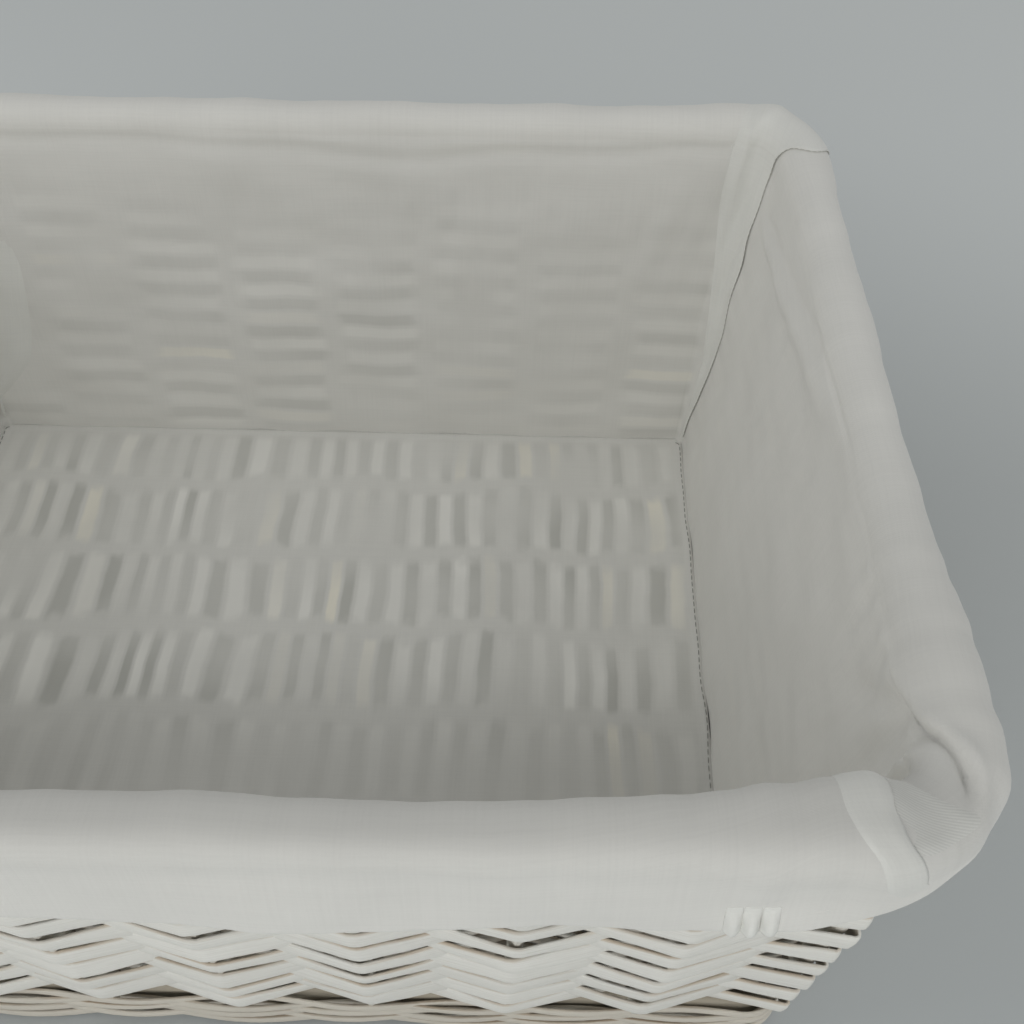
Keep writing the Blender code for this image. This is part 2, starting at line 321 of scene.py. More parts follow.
def rounded_loop(half, radius, arc_steps, side_steps):
    """Rounded rectangle, counter-clockwise from the front left: points, outward normals, side index."""
    points, normals, sides = [], [], []
    corners = [(1, -1, 1.5), (1, 1, 0.0), (-1, 1, 0.5), (-1, -1, 1.0)]
    for i, (sx, sy, start) in enumerate(corners):
        px, py, _ = corners[i - 1]
        a = np.array([px * (half[0] - radius), py * (half[1] - radius)])
        b = np.array([sx * (half[0] - radius), sy * (half[1] - radius)])
        turn = start * math.pi
        out = np.array([math.cos(turn), math.sin(turn)])
        for t in np.linspace(0.0, 1.0, side_steps[i % 2], endpoint=False):
            points.append(a + (b - a) * t + out * radius)
            normals.append(out)
            sides.append(i)
        for t in np.linspace(0.0, 1.0, arc_steps, endpoint=False):
            bend = turn + 0.5 * math.pi * t
            out_t = np.array([math.cos(bend), math.sin(bend)])
            points.append(b + out_t * radius)
            normals.append(out_t)
            sides.append(i + 4)
    return np.array(points), np.array(normals), np.array(sides)


# ---------------------------------------------------------------- materials
def new_material(name, roughness, sheen=0.0, specular=0.4):
    mat = bpy.data.materials.new(name)
    mat.use_nodes = True
    nodes, links = mat.node_tree.nodes, mat.node_tree.links
    shader = nodes["Principled BSDF"]
    shader.inputs["Roughness"].default_value = roughness
    shader.inputs["Specular IOR Level"].default_value = specular
    if sheen:
        shader.inputs["Sheen Weight"].default_value = sheen
        shader.inputs["Sheen Roughness"].default_value = 0.6
    return mat, Net(nodes, links), shader


class Net:
    """Short hand for building a node network."""

    def __init__(self, nodes, links):
        self.nodes, self.links = nodes, links

    def node(self, kind, **settings):
        made = self.nodes.new(kind)
        for key, value in settings.items():
            setattr(made, key, value)
        return made

    def feed(self, socket, value):
        if isinstance(value, bpy.types.NodeSocket):
            self.links.new(value, socket)
        elif value is not None:
            socket.default_value = value

    def math(self, operation, a, b=None):
        made = self.node("ShaderNodeMath", operation=operation)
        self.feed(made.inputs[0], a)
        self.feed(made.inputs[1], b)
        return made.outputs[0]

    def times(self, a, b):
        return self.math("MULTIPLY", a, b)

    def plus(self, a, b):
        return self.math("ADD", a, b)

    def parts(self, vector):
        made = self.node("ShaderNodeSeparateXYZ")
        self.feed(made.inputs[0], vector)
        return made.outputs

    def join(self, *values):
        made = self.node("ShaderNodeCombineXYZ")
        for socket, value in zip(made.inputs, values):
            self.feed(socket, value)
        return made.outputs[0]

    def mix(self, factor, a, b):
        made = self.node("ShaderNodeMix", data_type="RGBA", blend_type="MIX")
        self.feed(made.inputs[0], factor)
        self.feed(made.inputs[6], a)
        self.feed(made.inputs[7], b)
        return made.outputs[2]

    def attribute(self, name):
        return self.node("ShaderNodeAttribute", attribute_name=name)

    def noise(self, vector, scales, detail=3.0, rough=0.5):
        """Noise with its own scale along each axis."""
        made = self.node("ShaderNodeTexNoise")
        self.feed(made.inputs["Vector"], self.stretch(vector, scales))
        self.feed(made.inputs["Scale"], 1.0)
        self.feed(made.inputs["Detail"], detail)
        self.feed(made.inputs["Roughness"], rough)
        return made.outputs["Fac"]

    def stretch(self, vector, scale):
        made = self.node("ShaderNodeMapping")
        self.feed(made.inputs["Vector"], vector)
        self.feed(made.inputs["Scale"], scale)
        return made.outputs[0]

    def ramp(self, factor, low, high):
        made = self.node("ShaderNodeMapRange", interpolation_type="SMOOTHSTEP")
        self.feed(made.inputs["Value"], factor)
        self.feed(made.inputs["From Min"], low)
        self.feed(made.inputs["From Max"], high)
        return made.outputs["Result"]

    def bump(self, height, strength, distance):
        made = self.node("ShaderNodeBump")
        self.feed(made.inputs["Height"], height)
        self.feed(made.inputs["Strength"], strength)
        self.feed(made.inputs["Distance"], distance)
        return made.outputs[0]


def rgb(r, g, b):
    """sRGB 0-255 to linear colour."""
    def linear(c):
        c = c / 255.0
        return c / 12.92 if c <= 0.04045 else ((c + 0.055) / 1.055) ** 2.4
    return (linear(r), linear(g), linear(b), 1.0)


def tint(colour, factor):
    """Colour multiplied by one factor, or by one for each channel."""
    factors = factor if isinstance(factor, tuple) else (factor,) * 3
    return tuple(c * f for c, f in zip(colour[:3], factors)) + (1.0,)


def willow_material(name, paint, wood, wear, roughness=0.62):
    """Thin paint over split willow: grain along the strip, bare wood showing at its edges."""
    mat, net, shader = new_material(name, roughness)
    along, across, tone = net.parts(net.attribute("strip").outputs["Vector"])
    inner = net.attribute("inner").outputs["Fac"]
    where = net.join(along, net.times(across, 0.009), tone)
    grain = net.noise(where, (60.0, 2600.0, 7.0), 4.0, 0.62)
    fibre = net.noise(where, (140.0, 7000.0, 7.0), 2.0)
    blotch = net.noise(where, (28.0, 220.0, 3.0), 2.0)
    edge = net.ramp(net.math("ABSOLUTE", across), 0.36, 0.5)
    worn = net.times(edge, net.ramp(blotch, 0.35, 0.62))
    worn = net.math("MAXIMUM", worn, net.times(net.ramp(grain, 0.60, 0.80), 0.35))
    warm = net.mix(tone, wood, tint(wood, 0.86))
    coat = net.mix(net.times(tone, 0.55), paint, tint(paint, 0.88))
    coat = net.mix(net.times(net.ramp(grain, 0.35, 0.75), 0.20), coat, rgb(176, 172, 160))
    colour = net.mix(net.times(worn, wear), coat, warm)
    # painted shade: the back faces, and the stretches that pass in behind the supports, take a dark wood
    # colour
    net.feed(shader.inputs["Base Color"], net.mix(net.times(inner, 0.62), colour, tint(wood, 0.56)))
    net.feed(shader.inputs["Roughness"], net.plus(net.times(grain, 0.25), roughness - 0.12))
    lines = net.plus(net.times(grain, 0.7), net.times(fibre, 0.3))
    net.feed(shader.inputs["Normal"], net.bump(lines, 0.55, 0.0006))
    return mat


def weave_light_and_shade(net, base, colour, cloth):
    """Painted light and shade of the weave under thin cloth: a light streak where a strip lies against it, a
    shade where one dips, and a few cream highlights.
    """
    span, strip, mask = net.parts(net.attribute("phase").outputs["Vector"])
    wobble = net.math("SUBTRACT", net.noise(cloth, (22.0, 22.0, 1.0)), 0.5)
    strip = net.plus(strip, net.times(wobble, 0.9))
    sway = net.math("SUBTRACT", net.noise(cloth, (80.0, 80.0, 1.0)), 0.5)
    span = net.plus(span, net.times(sway, 0.35))
    cell_a, cell_b = net.math("FLOOR", span), net.math("FLOOR", strip)
    part_a, part_b = net.math("FRACT", span), net.math("FRACT", strip)
    lit = net.math("PINGPONG", net.plus(cell_a, cell_b), 1.0)
    edge_a = net.times(net.ramp(part_a, 0.02, 0.20), net.ramp(part_a, 0.98, 0.80))
    edge_b = net.times(net.ramp(part_b, 0.00, 0.26), net.ramp(part_b, 1.00, 0.74))
    shape = net.times(net.times(edge_a, edge_b), mask)
    chance = net.node("ShaderNodeTexWhiteNoise", noise_dimensions="3D")
    net.feed(chance.inputs["Vector"], net.join(cell_a, cell_b))
    amount = chance.outputs["Value"]
    light = net.times(net.times(shape, lit), net.plus(0.30, net.times(amount, 0.70)))
    unlit = net.math("SUBTRACT", 1.0, lit)
    dark = net.times(net.times(shape, unlit), net.plus(0.22, net.times(amount, 0.78)))
    # painted highlights, a few of them cream
    cream_highlight = net.ramp(net.parts(chance.outputs["Color"])[1], 0.70, 0.95)
    bright = net.mix(cream_highlight, tint(colour, 1.20), tint(colour, (1.24, 1.20, 1.09)))
    base = net.mix(light, base, bright)
    return net.mix(dark, base, tint(colour, (0.70, 0.705, 0.69)))


def cloth_material(name, colour, painted_light_and_shade=False, ribbed=False):
    """Plain woven cotton: crossing threads, slubs, and on request painted light and shade, from the willow
    underneath and over the lining as a whole.
    """
    mat, net, shader = new_material(name, 0.88, sheen=0.22, specular=0.25)
    cloth = net.attribute("cloth").outputs["Vector"]
    u, v, _ = net.parts(cloth)
    thread = math.tau / THREAD_PITCH
    weave = net.times(net.math("SINE", net.times(u, thread)), net.math("SINE", net.times(v, thread)))
    warp = net.noise(cloth, (1300.0, 30.0, 1.0), 2.0)
    weft = net.noise(cloth, (30.0, 1300.0, 1.0), 2.0)
    slub = net.plus(warp, weft)
    cloud = net.noise(cloth, (22.0, 22.0, 1.0), 3.0, 0.55)
    base = net.mix(net.times(net.ramp(cloud, 0.3, 0.7), 0.35), colour, tint(colour, 0.90))
    base = net.mix(net.times(net.ramp(slub, 0.85, 1.25), 0.14), base, tint(colour, 0.82))
    if painted_light_and_shade:
        # painted light and shade of the weave under the cloth
        base = weave_light_and_shade(net, base, colour, cloth)
        # painted light and shade: a value per point lightens the cloth's colour, or darkens it towards near
        # black
        painted_shading = net.attribute("painted_shading").outputs["Fac"]
        lighter = net.times(net.math("MAXIMUM", painted_shading, 0.0), 4.0)
        darker = net.math("MAXIMUM", net.times(painted_shading, -1.0), 0.0)
        base = net.mix(lighter, base, tint(colour, 1.25))
        base = net.mix(darker, base, rgb(30, 29, 27))
    if ribbed:
        slant = net.plus(u, net.times(v, 0.55))
        rib = net.ramp(net.math("SINE", net.times(slant, math.tau / RIB_PITCH)), -0.9, 0.9)
        base = net.mix(net.times(rib, 0.42), base, tint(colour, 0.74))
    net.feed(shader.inputs["Base Color"], base)
    height = net.plus(net.times(weave, 0.22), slub)
    net.feed(shader.inputs["Normal"], net.bump(height, 0.16, 0.00025))
    return mat


def thread_material(name, colour):
    mat, net, shader = new_material(name, 0.8, sheen=0.2)
    where = net.node("ShaderNodeTexCoord").outputs["Object"]
    fine = net.noise(where, (2400.0, 2400.0, 2400.0), 2.0)
    net.feed(shader.inputs["Base Color"], net.mix(fine, colour, tint(colour, 0.6)))
    net.feed(shader.inputs["Normal"], net.bump(fine, 0.4, 0.0002))
    return mat


THREAD_PITCH = 0.00085
RIB_PITCH = 0.00120

PAINTED = willow_material("painted_split_willow", rgb(241, 240, 234), rgb(198, 178, 152), 0.75)
STAKES = willow_material("painted_willow_rod", rgb(228, 225, 216), rgb(188, 166, 138), 0.65)
RAW = willow_material("bare_split_willow", rgb(221, 215, 203), rgb(168, 148, 124), 0.9, 0.70)
CORE = willow_material("bare_willow_rod", rgb(176, 168, 152), rgb(130, 112, 92), 0.9, 0.75)
COTTON = cloth_material("cotton_lining", rgb(230, 229, 224), painted_light_and_shade=True)
COTTON_PLAIN = cloth_material("cotton_pleat", rgb(231, 231, 226))
COTTON_BAND = cloth_material("cotton_fold", rgb(222, 222, 217))
# painted shade: the folded facet's cloth is given a darker colour than the lining, as it faces away from the
# light
COTTON_RIB_SHADED = cloth_material("cotton_ribbed_shaded", rgb(215, 215, 210), ribbed=True)
THREAD = thread_material("seam_thread", rgb(138, 138, 132))
EDGE_THREAD = thread_material("serged_thread", rgb(190, 189, 180))


# ---------------------------------------------------------------- woven walls
BEND = 0.0021
BEND_STEPS = 6
ARM_STEPS = 7
FOOT_STRIPS = 6
FOOT_WAVES = 17
ROPE_STRANDS = 4
ROPE_LAY = 0.062


def soft_polyline(vertices, normals, offsets):
    """Closed zigzag with each kink rounded, and the normals and offsets carried along it."""
    after = np.roll(vertices, -1, axis=0)
    span = after - vertices
    length = np.linalg.norm(span, axis=1, keepdims=True)
    direction = span / length
    reach = np.minimum(BEND, 0.45 * length)
    back = np.roll(direction, 1, axis=0)
    reach_back = np.roll(reach, 1, axis=0)
    start = vertices - back * np.minimum(reach, reach_back)
    end = vertices + direction * np.minimum(reach, reach_back)
    points, ways, shifts = [], [], []
    for t in np.linspace(0.0, 1.0, BEND_STEPS):
        points.append((1 - t) ** 2 * start + 2 * t * (1 - t) * vertices + t * t * end)
        ways.append(normals)
        shifts.append(offsets)
    next_start = np.roll(start, -1, axis=0)
    next_normals = np.roll(normals, -1, axis=0)
    for t in np.linspace(0.0, 1.0, ARM_STEPS + 2)[1:-1]:
        points.append(end + (next_start - end) * t)
        ways.append(unit(normals * (1 - t) + next_normals * t))
        shifts.append(offsets * (1 - t) + np.roll(offsets, -1) * t)
    stacked = np.stack(points, axis=1).reshape(-1, 3)
    facing = np.stack(ways, axis=1).reshape(-1, 3)
    return stacked, facing, np.stack(shifts, axis=1).reshape(-1)


def course_path(z, parity, post_out, uneven):
    """Centre line of one course, its outward directions, and how far it is outside the wall's middle."""
    stake_bulge = STAKE_BULGE - 0.0002
    vertices, normals, offsets = [], [], []
    for i, (xy, out, is_post) in enumerate(supports(z)):
        outside = (i + parity) % 2 == 0
        reach_out, reach_in = (post_out, POST_BULGE_IN) if is_post else (stake_bulge, stake_bulge)
        bulge = (reach_out if outside else -reach_in) * (1.0 - 0.16 * uneven.random())
        droop = 0.0011 * (uneven.random() - 0.5) - (0.0004 if outside else -0.0004)
        vertices.append([xy[0] + out[0] * bulge, xy[1] + out[1] * bulge, z + droop])
        normals.append([out[0], out[1], 0.0])
        offsets.append(bulge)
    return soft_polyline(np.array(vertices), np.array(normals), np.array(offsets))


def build_walls():
    """Courses of flat strip, each one outside one support and inside the next."""
    slope = (RIM_HALF - BASE_HALF) / RIM_Z
    uneven = np.random.default_rng(3)
    strips, depth_shade = [], []
    for course in range(COURSES):
        z = COURSE_LOW + (course + 0.5) * COURSE_PITCH
        path, facing, depth = course_path(z, course, blend_z(POST_BULGE_BASE, POST_BULGE_RIM, z), uneven)
        run = run_along(path)
        share = run / run[-1]
        close = smooth_step(share, 0.0, 0.02) * smooth_step(1.0 - share, 0.0, 0.02)
        path[:, 2] += 0.0006 * close * ripple(share, 11 + course, low=5.0, high=22.0)
        lean = np.abs(facing[:, :1]) * slope[0] + np.abs(facing[:, 1:2]) * slope[1]
        tilt = 0.10 + 0.14 * close * ripple(share, 61 + course, low=5.0, high=18.0)
        up, out = strip_frame(loop_direction(path), UP + facing * (lean - tilt[:, None]), facing)
        room = smooth_step(min(COURSE_HIGH - z, z - COURSE_LOW) + 0.0008, 0.0, 0.0062)
        width = 0.0085 + 0.0014 * close * ripple(share, 101 + course, low=4.0, high=22.0)
        width = width * (0.86 + 0.14 * room)
        thickness = STRIP_THICKNESS + 0.0001 * close * ripple(share, 151 + course, low=3.0, high=9.0)
        strips.append((path, up, out, width, thickness, run))
        # painted shade where the course passes in behind a support
        depth_shade.append(smooth_step(-depth, 0.0005, 0.0045))
    walls = strip_mesh("woven_wall_strips", strips, True, 7, depth_shade)
    walls.data.materials.append(PAINTED)
    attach(walls, "basket")
    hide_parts(*[f"weave_course_{i + 1:02d}" for i in range(COURSES)])


def build_uprights():
    """Stakes and posts as slightly uneven rods, one object for each wall and corner."""
    heights = np.linspace(FOOT_HEIGHT - 0.004, RIM_Z - 0.001, 26)
    share = np.linspace(0.0, 1.0, len(heights))
    grid = [supports(z) for z in heights]

    def upright(index, sway):
        """Centre line of one support, and the direction along the wall at each of its points."""
        out = grid[0][index][1]
        side = np.array([-out[1], out[0], 0.0])
        xy = np.array([row[index][0] for row in grid]) + side[:2] * sway[:, None]
        return np.column_stack([xy, heights]), np.tile(side, (len(heights), 1))

    groups = {"front": range(1, 8), "right": range(9, 15), "back": range(16, 23), "left": range(24, 30)}
    for name, members in groups.items():
        stakes = [upright(i, 0.00035 * ripple(share, 300 + i, low=0.4, high=1.6)) for i in members]
        path, side = (np.array(values) for values in zip(*stakes))
        shares = np.broadcast_to(share, path.shape[:2])
        wide = 0.0023 + 0.0001 * ripple(shares, 17, low=0.5, high=2.0)
        deep = 0.0045 + 0.0001 * ripple(shares, 18, low=0.5, high=2.0)
        rods = rod_mesh(f"willow_stakes_{name}", path, side, wide, deep, shares * 0.15, 40 + len(name))
        rods.data.materials.append(STAKES)
        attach(rods, "basket")
        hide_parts(f"stakes_{name}")
    corners = {"front_left": 0, "front_right": 8, "back_right": 15, "back_left": 23}
    for name, i in corners.items():
        path, side = upright(i, np.zeros(len(heights)))
        thick = (0.0029 + 0.0001 * ripple(share, 70 + i, low=0.5, high=2.0))[None]
        runs = share[None] * 0.15
        post = rod_mesh(f"willow_post_{name}", path[None], side[None], thick, thick, runs, 90 + i)
        post.data.materials.append(STAKES)
        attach(post, "basket")
        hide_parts(f"corner_post_{name}")


def loop_path(half, radius, z, steps):
    """Evenly spaced closed path round a rounded rectangle: points, outward normals, run, and whole length."""
    points, normals, _ = rounded_loop(half, radius, 24, (160, 130))
    points, normals = closed(points), closed(normals)
    run = run_along(points)
    at = np.linspace(0.0, run[-1], steps, endpoint=False)
    xy = np.column_stack([np.interp(at, run, points[:, k]) for k in (0, 1)])
    out = unit(np.column_stack([np.interp(at, run, normals[:, k]) for k in (0, 1)]))
    return np.column_stack([xy, np.full(steps, z)]), np.column_stack([out, np.zeros(steps)]), at, run[-1]


def build_rim():
    """Border of bent-down stakes, laid as a rope of rods round the rim."""
    path, out, at, total = loop_path(RIM_HALF, RIM_CORNER, RIM_Z - 0.0002, 720)
    turns = round(total / ROPE_LAY)
    shifts = []
    for k in range(ROPE_STRANDS):
        twist = math.tau * (turns * at / total + k / ROPE_STRANDS)
        shifts.append(out * np.cos(twist)[:, None] + UP * np.sin(twist)[:, None])
    paths = path + np.array(shifts) * 0.0037
    along = loop_direction(paths)
    side = square_to(along, np.array(shifts))
    radius = (0.0034 + 0.0002 * ripple(at / total, 5, low=6.0, high=20.0))[None]
    rope = loop_rods("rim_border_rods", paths, side, np.cross(along, side), radius, at, 55)
    rope.data.materials.append(STAKES)
    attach(rope, "basket")


def build_foot():
    """Band of thin bare strips wound round three rods: what the basket stands on."""
    paths, sides = [], []
    for z, shift in ((0.0036, 0.0012), (0.0098, 0.0010), (0.0156, 0.0006)):
        path, out, at, _ = loop_path(BASE_HALF + shift, 0.008, z, 520)
        paths.append(path)
        sides.append(out)
    paths, sides = np.array(paths), np.array(sides)
    radii = np.array([0.0033, 0.0031, 0.0029])[:, None]
    core = loop_rods("foot_border_rods", paths, sides, np.broadcast_to(UP, sides.shape), radii, at, 56)
    core.data.materials.append(CORE)
    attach(core, "basket")

    strips = []
    for k in range(FOOT_STRIPS):
        z = 0.0022 + 0.0150 * (k + 0.5) / FOOT_STRIPS
        path, out, at, total = loop_path(BASE_HALF + 0.0012, 0.008, z, 900)
        share = at / total
        close = smooth_step(share, 0.0, 0.01) * smooth_step(1.0 - share, 0.0, 0.01)
        over_under = np.sin(math.tau * (FOOT_WAVES * share + k * 0.5))
        wander = ripple(share, 520 + k, low=5.0, high=15.0) * close
        path = path + out * (0.0044 + 0.0013 * over_under + 0.0004 * wander)[:, None]
        path[:, 2] += close * 0.0011 * ripple(share, 500 + k, low=6.0, high=20.0)
        up, face = strip_frame(loop_direction(path), UP - out * (0.10 + 0.16 * wander)[:, None], out)
        width = 0.0030 * (1.0 + 0.16 * close * ripple(share, 540 + k, low=4.0, high=14.0))
        path[:, 2] = np.maximum(path[:, 2], width / 2.0 + 0.0008)
        strips.append((path, up, face, width, np.full(len(path), 0.0010), at))
    band = strip_mesh("foot_border_strips", strips, True, 9)
    band.data.materials.append(RAW)
    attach(band, "basket")
    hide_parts("foot_border")


def build_floor():
    """Six sticks along the length, and flat strips woven across them."""
    post_y = post_xy(1, 1, 0.0)[1]
    ys = (np.arange(END_STAKES) - (END_STAKES - 1) / 2.0) * 2.0 * post_y / (END_STAKES + 1)
    xs = np.linspace(-FLOOR_HALF[0], FLOOR_HALF[0], 60)
    share = np.linspace(0.0, 1.0, len(xs))
    for k, y in enumerate(ys):
        path = np.column_stack([xs, np.full(len(xs), y), np.full(len(xs), STICK_Z)])[None]
        side = np.broadcast_to(np.array([0.0, 1.0, 0.0]), path.shape)
        thick = (0.0023 + 0.0001 * ripple(share, 600 + k, low=0.5, high=3.0))[None]
        stick = rod_mesh(f"willow_floor_stick_{k + 1}", path, side, thick, thick, xs[None] + 1.0, 610 + k)
        stick.data.materials.append(STAKES)
        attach(stick, "basket")
        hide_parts(f"floor_stick_{k + 1}")

    steps = 150
    y = np.linspace(-FLOOR_HALF[1], FLOOR_HALF[1], steps)
    share = (y + FLOOR_HALF[1]) / (2.0 * FLOOR_HALF[1])
    wave = np.arcsin(0.94 * np.cos(math.pi * (y - ys[0]) / (ys[1] - ys[0]))) / math.asin(0.94)
    wave = wave * (0.25 + 0.75 * smooth_step(FLOOR_HALF[1] - np.abs(y), 0.0, 0.022))
    strips = []
    for row in range(FLOOR_ROWS):
        x = -FLOOR_HALF[0] + FLOOR_MARGIN + (row + 0.5) * FLOOR_PITCH
        sign = 1.0 if row % 2 == 0 else -1.0
        sway = 0.0007 * ripple(share, 700 + row, low=0.6, high=3.0)
        path = np.column_stack([x + sway, y, STICK_Z + 0.0030 * sign * wave])
        tilt = 0.10 + 0.06 * ripple(share, 760 + row, low=1.0, high=5.0)
        hint = np.column_stack([np.ones(steps), np.zeros(steps), -tilt])
        across, out = strip_frame(unit(np.gradient(path, axis=0)), hint, UP)
        width = 0.0082 + 0.0006 * ripple(share, 820 + row, low=1.0, high=5.0)
        strips.append((path, across, out, width, np.full(steps, STRIP_THICKNESS), y + 1.0))
    woven = strip_mesh("woven_floor_strips", strips, False, 12)
    woven.data.materials.append(PAINTED)
    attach(woven, "basket")
    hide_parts("floor_weave_upper", "floor_weave_lower")


# ---------------------------------------------------------------- cotton lining
SIDE_STEPS = (160, 124)
ARC_STEPS = 26
LEG_STEPS = 104
ROLL_STEPS = 30
CUFF_STEPS = 24
HEM_TURN = 0.0070
LOOP_STEPS = 2 * (SIDE_STEPS[0] + SIDE_STEPS[1]) + 4 * ARC_STEPS


def corner_weight(xy, corner, reach):
    """1 at a rim corner, falling to 0 at the given distance."""
    distance = np.linalg.norm(xy - np.asarray(corner)[None, :], axis=1)
    return 1.0 - smooth_step(distance, 0.25 * reach, reach)


def mirror_x(column):
    """Column on the other side of the basket, left for right."""
    return (SIDE_STEPS[0] - column) % LOOP_STEPS


def corner_pleats(column, level):
    """Height of the slack folds near the corners.

    The level is 0..1 up the wall, 1..2 over the roll and 2..3 down the cuff."""
    total = np.zeros(np.broadcast(column, level).shape)
    # a long soft fold under the roll of each end, rising from the back corner to the rim
    knots = (233.0, 250.0, 264.0, 283.0, 303.0, 316.0)
    for turn, size in ((column, 1.0), (mirror_x(column), 0.8)):
        middle = np.interp(turn, knots, (0.985, 0.960, 0.925, 0.878, 0.846, 0.845))
        spread = np.interp(turn, knots, (0.040, 0.034, 0.028, 0.020, 0.015, 0.012))
        near = smooth_step(turn, 226.0, 262.0) * (1.0 - smooth_step(turn, 302.0, 313.0))
        total = total + 0.0022 * size * near * ridge(level - middle, 1.25 * spread)
        total = total - 0.0007 * size * near * ridge(level - middle - 2.3 * spread, spread)
    # the deep crease and the fold beside it inside the front corners
    for turn, size in ((column, 1.0), (mirror_x(column), 0.6)):
        crease = np.interp(turn, (165.0, 173.0, 175.0, 179.0, 183.0, 189.0, 198.0, 206.0),
                           (1.66, 1.61, 1.56, 1.42, 1.28, 1.06, 0.885, 0.80))
        near = smooth_step(turn, 171.0, 178.0) * (1.0 - smooth_step(turn, 192.0, 208.0))
        total = total - 0.0026 * size * near * ridge(level - crease, 0.045)
        total = total + 0.0014 * size * near * ridge(level - crease - 0.12, 0.08)
        fold = smooth_step(turn, 172.0, 177.0) * (1.0 - smooth_step(turn, 182.0, 190.0))
        total = total + 0.0020 * size * fold * ridge(level - crease + 0.30, 0.17)
        total = total - 0.0016 * size * fold * ridge(level - crease + 0.62, 0.10)
    return total


class Lining:
    """The lining's surface: columns run round the basket, rows from the floor seam to the hem."""

    def __init__(self):
        low, _, side = rounded_loop(LINING_HALF, LINING_CORNER, ARC_STEPS, SIDE_STEPS)
        rim, rim_n, _ = rounded_loop(RIM_HALF, RIM_CORNER, ARC_STEPS, SIDE_STEPS)
        self.low, self.rim, self.out, self.side = low, rim, rim_n, side
        run = run_along(closed(rim))
        self.run, self.total = run[:-1], run[-1]
        x, y = RIM_HALF - 0.008
        self.front_right = corner_weight(rim, (x, -y), 0.105)
        self.front_left = corner_weight(rim, (-x, -y), 0.080)
        self.back_right = corner_weight(rim, (x, y), 0.060)
        self.back_left = corner_weight(rim, (-x, y), 0.060)
        self.columns = len(low)
        self.phase_columns()

    def phase_columns(self):
        """Which stake each column lies on, as a running number."""
        z = RIM_Z * 0.5
        spots = [xy for xy, _, _ in supports(z)]
        middle, _, _ = rounded_loop(half_sizes(z), blend_z(BASE_CORNER, RIM_CORNER, z), ARC_STEPS, SIDE_STEPS)
        run = run_along(closed(middle))
        at = np.array([run[np.argmin(np.linalg.norm(middle - spot, axis=1))] for spot in spots])
        at[0] -= run[-1] if at[0] > run[-1] / 2 else 0.0
        at = np.append(at, at[0] + run[-1])
        self.stake_number = np.interp(run[:-1], at, np.arange(len(at), dtype=float))

    def surface(self):
        """Points (rows, columns, 3) and cloth attributes."""
        share = self.run / self.total
        out3 = np.column_stack([self.out, np.zeros(self.columns)])
        low3 = np.column_stack([self.low, np.full(self.columns, LINING_Z - 0.0006)])
        column = np.arange(self.columns, dtype=float)
        bunch = (0.0055 * self.front_right + 0.0030 * self.front_left + 0.0012 * self.back_left
                 + 0.0015 * self.back_right)
        bunch = bunch + 0.0046 * ridge(column - 157.5, 8.5)
        uneven = 0.0003 * ripple(share, 21, low=4.0, high=14.0)
        lumps = 0.00007 * np.sin(math.tau * self.run / 0.0155)
        radius = ROLL_RADIUS + uneven + lumps + 0.35 * bunch
        centre = np.column_stack([self.rim, RIM_Z + bunch * 0.75])
        front = smooth_step(-self.out[:, 1], 0.2, 0.9)
        square = 2.15 + 0.70 * front
        hem = HEM_Z + 0.0006 * ripple(share, 22, low=6.0, high=16.0)
        knots = (60.0, 98.0, 132.0, 145.0, 152.0, 160.0, 164.0, 168.0,
                 172.0, 178.0, 184.0, 192.0, 205.0, 225.0, 248.0)
        rise = (0.0, 0.5, 4.5, 6.5, 12.0, 21.0, 24.0, 28.0, 30.5, 29.0, 23.0, 18.0, 11.0, 5.0, 1.0)
        hem = hem + 0.001 * np.interp(column, knots, rise, left=0.0, right=0.0)
        hem = hem + 0.0008 * np.interp(mirror_x(column), knots, rise, left=0.0, right=0.0)
        hem = hem + 0.0060 * self.back_right + 0.0060 * self.back_left
        hem = np.convolve(np.pad(hem, 4, mode="wrap"), np.ones(9) / 9.0, "valid")
        hem = np.minimum(hem, centre[:, 2] - 0.0015)

        rows, facing, lengths, level = [], [], [], []
        leg_top = centre - out3 * radius[:, None]
        leg = leg_top - low3
        leg_length = np.linalg.norm(leg, axis=1)
        leg_unit = leg / leg_length[:, None]
        inward = unit(np.cross(np.cross(leg_unit, out3), leg_unit)) * -1.0
        for t in np.linspace(0.0, 1.0, LEG_STEPS, endpoint=False):
            rows.append(low3 + leg * t)
            facing.append(inward)
            lengths.append(leg_length * t)
            level.append(t)
        leg_rows = len(rows)
        for t in np.linspace(0.0, 1.0, ROLL_STEPS, endpoint=False):
            angle = math.pi * (1.0 - t)
            way = out3 * math.cos(angle) + UP * math.sin(angle)
            bulk = (abs(math.cos(angle)) ** square + abs(math.sin(angle)) ** square) ** (-1.0 / square)
            rows.append(centre + way * (radius * bulk)[:, None])
            facing.append(way)
            lengths.append(leg_length + math.pi * radius * t)
            level.append(1.0 + t)
        roll_rows = len(rows)
        top = centre + out3 * radius[:, None]
        drop = top[:, 2] - hem
        for t in np.linspace(0.0, 1.0, CUFF_STEPS):
            rows.append(top - UP * (drop * t)[:, None])
            facing.append(out3)
            lengths.append(leg_length + math.pi * radius + drop * t)
            level.append(2.0 + t)
        rows, facing, lengths = np.array(rows), np.array(facing), np.array(lengths)
        level = np.array(level)[:, None]
        self.level = level[:, 0]
        height = rows[..., 2]
        position = np.broadcast_to(self.run[None, :], height.shape)

